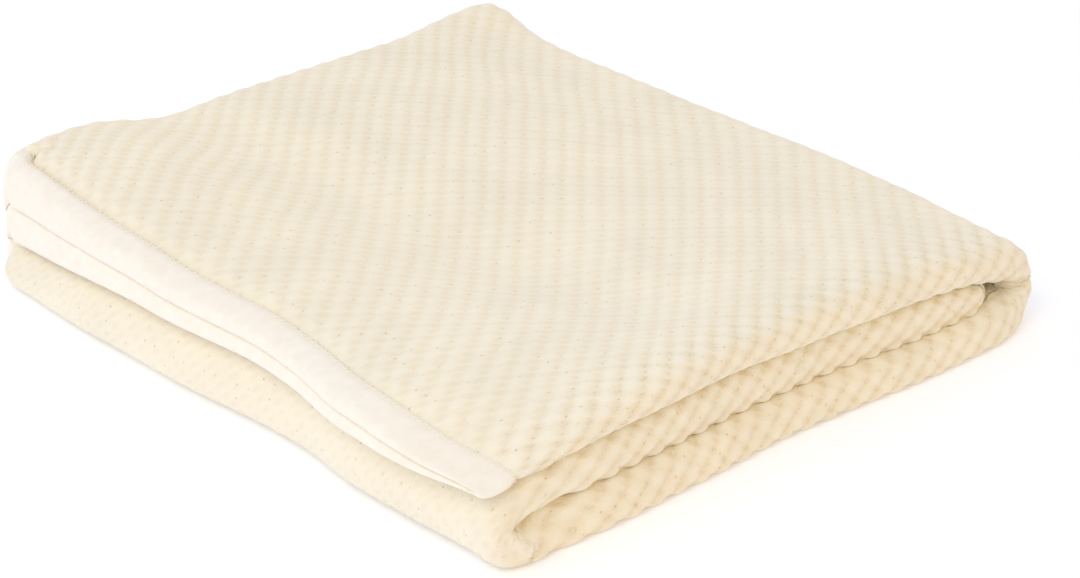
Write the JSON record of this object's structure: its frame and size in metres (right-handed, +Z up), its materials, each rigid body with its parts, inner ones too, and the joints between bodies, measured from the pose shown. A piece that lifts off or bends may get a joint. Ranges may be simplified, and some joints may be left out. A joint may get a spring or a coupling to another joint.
{
  "type": "folded throw blanket",
  "caption": "Folded throw blanket with a chunky basket-knit face and white fleece lining and hems, folded in half and then in thirds, with a flap that opens.",
  "frame": {"origin": "middle of the folded pack's footprint, on the surface that it lies on", "axes": "+X from the left fold to the right fold that carries the flap, +Y from the rolled half fold to the open hems, +Z up"},
  "size_m": [0.345, 0.372, 0.058],
  "materials": {
    "knit": "cream chunky cotton-acrylic basket knit",
    "fleece": "off-white short-pile fleece",
    "thread": "cream sewing thread, sunk in its seam",
    "label": "blank white satin tape"
  },
  "bodies": {
    "base": {"bottom_panel_knit": "knit", "bottom_panel_lining": "fleece", "bottom_panel_seam": "thread", "bottom_panel_hem": "fleece", "left_fold_knit": "knit", "left_fold_lining": "fleece", "left_fold_seam": "thread", "left_fold_hem": "fleece", "tucked_panel_knit": "knit", "tucked_panel_lining": "fleece", "tucked_panel_seam": "thread", "tucked_panel_hem": "fleece", "lower_crease_knit": "knit", "lower_crease_lining": "fleece", "lower_crease_seam": "thread", "lower_crease_hem": "fleece", "care_label": "label"},
    "spine": {"fold_spine_knit": "knit", "fold_spine_lining": "fleece", "fold_spine_seam": "thread", "fold_spine_hem": "fleece"},
    "flap": {"upper_crease_knit": "knit", "upper_crease_lining": "fleece", "upper_crease_seam": "thread", "upper_crease_hem": "fleece", "flap_knit": "knit", "flap_lining": "fleece", "flap_seam": "thread", "flap_hem": "fleece"}
  },
  "joints": [
    {"name": "spine_crease", "type": "hinge", "parent": "base", "child": "spine", "pos_m": [0.16547, 0, 0.00703], "axis": [0, 1, 0], "range_deg": [0, 90]},
    {"name": "flap_crease", "type": "hinge", "parent": "spine", "child": "flap", "pos_m": [0.16547, 0, 0.05097], "axis": [0, 1, 0], "range_deg": [0, 90]}
  ],
  "couplings": [
    {"joint": "spine_crease", "follows": "flap_crease", "ratio": 1}
  ]
}
